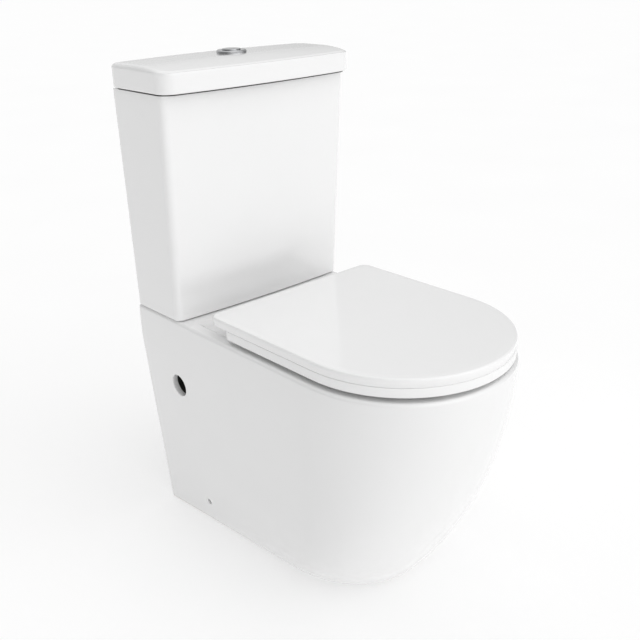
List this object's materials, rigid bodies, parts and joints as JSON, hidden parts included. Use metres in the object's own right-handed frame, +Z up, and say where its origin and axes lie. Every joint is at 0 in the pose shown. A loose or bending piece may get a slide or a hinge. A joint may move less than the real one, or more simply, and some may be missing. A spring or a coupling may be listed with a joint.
{
  "type": "close coupled toilet",
  "caption": "Back-to-wall close coupled toilet: skirted pan, tapered cistern with lift-off lid and split flush button, hinged seat and wrap lid with working flush and fill valves.",
  "frame": {"origin": "on the floor, midway across the width and midway between the plane of the wall and the front of the rim", "axes": "+Z up, +Y towards the wall, -Y towards the user, +X to the right for someone who stands in front and faces the toilet"},
  "size_m": [0.3846, 0.6333, 0.8337],
  "materials": {
    "glazed_ceramic": "gloss white glaze",
    "seat_plastic": "gloss white thermoset",
    "chrome": "polished",
    "white_plastic": "moulded",
    "damper_plastic": "moulded grey",
    "rubber": "matte black",
    "pad_rubber": "translucent grey-white",
    "steel": "plain zinc plated"
  },
  "bodies": {
    "root": {"pan": "glazed_ceramic", "pan_bowl": "glazed_ceramic", "pan_trap": "glazed_ceramic", "pan_duct": "glazed_ceramic", "cistern": "glazed_ceramic", "flush_valve_base": "white_plastic", "flush_valve_tower": "white_plastic", "flush_valve_gasket": "rubber", "flush_valve_nut": "white_plastic", "coupling_seal": "rubber", "coupling_bolts": "steel", "coupling_bolt_seals": "rubber", "coupling_spacers": "rubber", "coupling_washers": "steel", "coupling_wing_nuts": "white_plastic", "fill_valve_body": "white_plastic", "fill_valve_washer": "rubber", "fill_valve_nut": "white_plastic", "lever_pin": "steel", "hinge_base_left": "chrome", "hinge_base_right": "chrome", "hinge_pin_left": "damper_plastic", "hinge_pin_right": "damper_plastic", "hinge_bolts": "steel", "hinge_sleeves": "rubber", "hinge_nuts": "white_plastic", "floor_brackets": "white_plastic"},
    "seat": {"seat": "seat_plastic", "seat_buffers": "pad_rubber"},
    "seat_lid": {"seat_lid": "seat_plastic", "lid_buffers": "pad_rubber"},
    "cistern_lid": {"cistern_lid": "glazed_ceramic", "button_housing": "chrome", "button_nut": "white_plastic", "full_button_spring": "steel", "half_button_spring": "steel"},
    "full_button": {"full_flush_button": "chrome", "full_push_rod": "white_plastic"},
    "half_button": {"half_flush_button": "chrome", "half_push_rod": "white_plastic"},
    "full_plunger": {"full_plunger": "white_plastic"},
    "half_plunger": {"half_plunger": "white_plastic"},
    "flush_plug": {"flush_valve_plug": "white_plastic", "plug_seal": "rubber"},
    "float": {"fill_valve_float": "white_plastic"},
    "lever": {"fill_valve_lever": "white_plastic"}
  },
  "joints": [
    {"name": "seat_hinge", "type": "hinge", "parent": "root", "child": "seat", "pos_m": [0, 0.09775, 0.4265], "axis": [1, 0, 0], "range_deg": [-92, 0]},
    {"name": "lid_hinge", "type": "hinge", "parent": "seat", "child": "seat_lid", "pos_m": [0, 0.09775, 0.4265], "axis": [-1, 0, 0], "range_deg": [0, 93]},
    {"name": "cistern_lid_lift", "type": "slide", "parent": "root", "child": "cistern_lid", "axis": [0, 0, 1], "range_m": [0, 0.12]},
    {"name": "full_flush_press", "type": "slide", "parent": "cistern_lid", "child": "full_button", "axis": [0, 0, -1], "range_m": [0, 0.008], "stiffness_N_per_m": 250, "springref_m": -0.006, "deforming": ["full_button_spring"]},
    {"name": "half_flush_press", "type": "slide", "parent": "cistern_lid", "child": "half_button", "axis": [0, 0, -1], "range_m": [0, 0.008], "stiffness_N_per_m": 250, "springref_m": -0.006, "deforming": ["half_button_spring"]},
    {"name": "full_plunger_press", "type": "slide", "parent": "root", "child": "full_plunger", "axis": [0, 0, -1], "range_m": [0, 0.008]},
    {"name": "half_plunger_press", "type": "slide", "parent": "root", "child": "half_plunger", "axis": [0, 0, -1], "range_m": [0, 0.008]},
    {"name": "flush_plug_lift", "type": "slide", "parent": "root", "child": "flush_plug", "axis": [0, 0, 1], "range_m": [0, 0.02]},
    {"name": "float_rise", "type": "slide", "parent": "root", "child": "float", "axis": [0, 0, 1], "range_m": [0, 0.008]},
    {"name": "lever_tilt", "type": "hinge", "parent": "root", "child": "lever", "pos_m": [0.118, 0.25675, 0.6605], "axis": [0, 1, 0], "range_deg": [0, 21]}
  ],
  "couplings": [
    {"joint": "full_plunger_press", "follows": "full_flush_press", "ratio": 1},
    {"joint": "half_plunger_press", "follows": "half_flush_press", "ratio": 1},
    {"joint": "flush_plug_lift", "follows": "full_flush_press", "ratio": 2.5},
    {"joint": "lever_tilt", "follows": "float_rise", "rad_per_m": 45.45}
  ]
}
